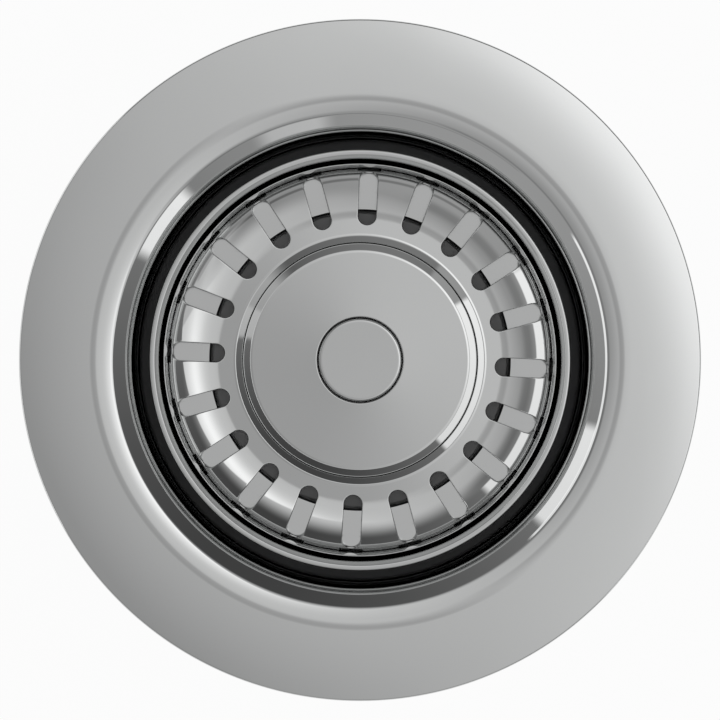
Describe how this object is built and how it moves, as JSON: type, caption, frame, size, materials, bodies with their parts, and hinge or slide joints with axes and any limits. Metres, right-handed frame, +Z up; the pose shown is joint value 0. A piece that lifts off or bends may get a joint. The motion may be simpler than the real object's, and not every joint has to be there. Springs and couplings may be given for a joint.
{
  "type": "sink strainer",
  "caption": "Kitchen sink basket strainer: domed flange and cup, lift-out slotted basket with a push-button plug, threaded outlet and clamping nut.",
  "frame": {"origin": "on the strainer's axis, in the plane of the sink deck under the flange gasket", "axes": "+Z up along the strainer's axis, towards the user; +X to the right of the picture, +Y to its top"},
  "size_m": [0.114, 0.114, 0.0749],
  "materials": {
    "polished_steel": "mirror polished stainless steel",
    "satin_steel": "satin stainless steel",
    "spring_steel": "drawn wire",
    "plated_brass": "nickel plated brass",
    "black_rubber": "matt moulded rubber",
    "pale_polyethylene": "waxy moulded plastic",
    "grey_acetal": "moulded plastic"
  },
  "bodies": {
    "housing": {"strainer_body": "polished_steel", "flange_gasket": "black_rubber", "basket_seat_ring": "black_rubber", "outlet_gasket": "black_rubber", "outlet_spigot": "plated_brass"},
    "clamp_stack": {"clamp_washer": "black_rubber", "friction_ring": "pale_polyethylene", "outer_cup": "satin_steel"},
    "clamp_nut": {"back_nut": "plated_brass"},
    "basket_unit": {"basket": "polished_steel", "centre_plate": "polished_steel", "guide_sleeve": "grey_acetal", "sleeve_washer": "satin_steel", "sleeve_nut": "satin_steel", "stem_ring_seal": "black_rubber", "guide_cap": "grey_acetal", "return_spring": "spring_steel"},
    "indexer": {"index_ring": "grey_acetal"},
    "plug_unit": {"push_button": "polished_steel", "stem": "satin_steel", "plug_carrier": "grey_acetal", "plug_seal": "black_rubber", "plug_washer": "satin_steel", "plug_screw": "satin_steel"}
  },
  "joints": [
    {"name": "clamp_slide", "type": "slide", "parent": "housing", "child": "clamp_stack", "axis": [0, 0, 1], "range_m": [-0.006, 0.005]},
    {"name": "nut_turn", "type": "hinge", "parent": "clamp_stack", "child": "clamp_nut", "pos_m": [0, 0, -0.056], "axis": [0, 0, 1], "range_deg": [-935, 779]},
    {"name": "basket_lift", "type": "slide", "parent": "housing", "child": "basket_unit", "axis": [0, 0, 1], "range_m": [0, 0.07]},
    {"name": "button_press", "type": "slide", "parent": "basket_unit", "child": "plug_unit", "axis": [0, 0, 1], "range_m": [0, 0.008], "deforming": ["return_spring"]},
    {"name": "index_turn", "type": "hinge", "parent": "basket_unit", "child": "indexer", "pos_m": [0, 0, -0.0333], "axis": [0, 0, 1], "range_deg": [-54, 0]}
  ],
  "couplings": [
    {"joint": "clamp_slide", "follows": "nut_turn", "m_per_rad": 0.00036749},
    {"joint": "index_turn", "follows": "button_press", "rad_per_m": -116.36}
  ]
}
